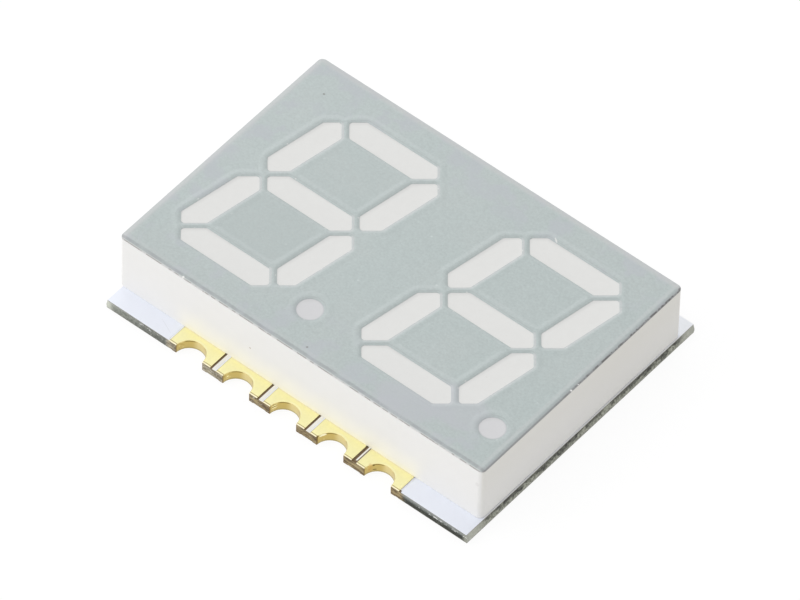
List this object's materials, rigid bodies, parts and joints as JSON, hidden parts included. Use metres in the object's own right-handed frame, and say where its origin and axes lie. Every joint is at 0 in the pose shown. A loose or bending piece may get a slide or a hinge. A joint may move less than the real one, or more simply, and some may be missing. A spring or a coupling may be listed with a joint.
{
  "type": "two-digit seven-segment LED display",
  "caption": "Surface-mount numeric display: slanted seven-segment digits with decimal points in a grey-faced white housing on a board with plated edge notches.",
  "frame": {"origin": "under the middle of the housing, on the plane of the solder lands' lower faces", "axes": "+X along the row of digits from left to right, +Y up the digits, +Z out of the viewing face"},
  "size_m": [0.0197, 0.0148, 0.0035],
  "materials": {
    "laminate": "matte",
    "solder_mask": "satin",
    "gold_plate": "satin",
    "housing": "satin",
    "face": "matte",
    "light_window": "satin",
    "led_die": "polished",
    "die_attach": "matte",
    "gold_wire": "polished"
  },
  "bodies": {
    "root": {"board_laminate": "laminate", "solder_mask_top": "solder_mask", "solder_mask_bottom": "solder_mask", "reflector_housing": "housing", "face_layer": "face", "terminal_1": "gold_plate", "terminal_2": "gold_plate", "terminal_3": "gold_plate", "terminal_4": "gold_plate", "terminal_5": "gold_plate", "terminal_6": "gold_plate", "terminal_7": "gold_plate", "terminal_8": "gold_plate", "terminal_9": "gold_plate", "terminal_10": "gold_plate", "copper_pads_left": "gold_plate", "die_attach_left": "die_attach", "bond_wires_left": "gold_wire", "led_die_left_a": "led_die", "light_window_left_a": "light_window", "led_die_left_b": "led_die", "light_window_left_b": "light_window", "led_die_left_c": "led_die", "light_window_left_c": "light_window", "led_die_left_d": "led_die", "light_window_left_d": "light_window", "led_die_left_e": "led_die", "light_window_left_e": "light_window", "led_die_left_f": "led_die", "light_window_left_f": "light_window", "led_die_left_g": "led_die", "light_window_left_g": "light_window", "led_die_left_point": "led_die", "light_window_left_point": "light_window", "copper_pads_right": "gold_plate", "die_attach_right": "die_attach", "bond_wires_right": "gold_wire", "led_die_right_a": "led_die", "light_window_right_a": "light_window", "led_die_right_b": "led_die", "light_window_right_b": "light_window", "led_die_right_c": "led_die", "light_window_right_c": "light_window", "led_die_right_d": "led_die", "light_window_right_d": "light_window", "led_die_right_e": "led_die", "light_window_right_e": "light_window", "led_die_right_f": "led_die", "light_window_right_f": "light_window", "led_die_right_g": "led_die", "light_window_right_g": "light_window", "led_die_right_point": "led_die", "light_window_right_point": "light_window"}
  },
  "joints": []
}
